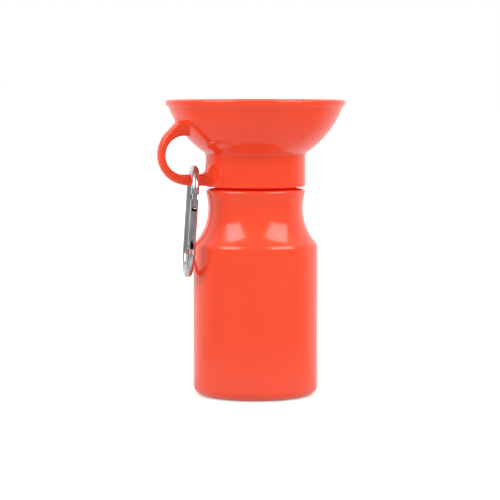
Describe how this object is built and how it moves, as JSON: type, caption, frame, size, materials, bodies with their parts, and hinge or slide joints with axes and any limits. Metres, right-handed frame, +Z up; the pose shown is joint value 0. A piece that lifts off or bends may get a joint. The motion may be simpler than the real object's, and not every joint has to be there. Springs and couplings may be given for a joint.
{
  "type": "travel water bottle with drinking bowl",
  "caption": "Squeeze bottle with a screwed-on drinking bowl, a carry loop under the bowl and a spring clip hanging on the loop.",
  "frame": {"origin": "centre of the base, in the plane that the bottle stands on", "axes": "+Z up along the bottle, -X towards the carry loop"},
  "size_m": [0.1186, 0.1114, 0.183],
  "materials": {
    "bottle_plastic": "gloss",
    "bowl_plastic": "gloss",
    "seal_silicone": "matte",
    "tube_plastic": "gloss",
    "clip_aluminium": "satin",
    "pin_steel": "satin"
  },
  "bodies": {
    "bottle": {"bottle": "bottle_plastic", "bottle_neck": "bottle_plastic", "valve_insert": "bowl_plastic", "neck_gasket": "seal_silicone", "nozzle_seal": "seal_silicone", "dip_tube": "tube_plastic"},
    "seal": {"slide_seal": "seal_silicone"},
    "bowl": {"bowl": "bowl_plastic", "carry_loop": "bowl_plastic"},
    "clip": {"clip_body": "clip_aluminium"},
    "gate": {"clip_gate": "clip_aluminium", "gate_rivet": "pin_steel", "latch_pin": "pin_steel", "gate_spring": "pin_steel"},
    "plunger": {"gate_plunger": "pin_steel"}
  },
  "joints": [
    {"name": "bowl_lift", "type": "slide", "parent": "bottle", "child": "seal", "axis": [0, 0, 1], "range_m": [0, 0.009]},
    {"name": "bowl_turn", "type": "hinge", "parent": "seal", "child": "bowl", "pos_m": [0, 0, 0.1426], "axis": [0, 0, 1], "range_deg": [0, 540]},
    {"name": "clip_swing", "type": "hinge", "parent": "bowl", "child": "clip", "pos_m": [-0.04046, 0, 0.1262], "axis": [0.9795, -0.1904, -0.0663], "range_deg": [-60, 60]},
    {"name": "gate_turn", "type": "hinge", "parent": "clip", "child": "gate", "pos_m": [-0.04531, -0.01383, 0.09432], "axis": [-0.9795, 0.1904, 0.0663], "range_deg": [0, 30], "stiffness_Nm_per_rad": 0.03, "springref_deg": -17.19},
    {"name": "plunger_push", "type": "slide", "parent": "gate", "child": "plunger", "axis": [0.0651, -0.0126, 0.9978], "range_m": [0, 0.00053], "deforming": ["gate_spring"]}
  ],
  "couplings": [
    {"joint": "bowl_lift", "follows": "bowl_turn", "m_per_rad": 0.0009549},
    {"joint": "plunger_push", "follows": "gate_turn", "m_per_rad": 0.000999}
  ]
}
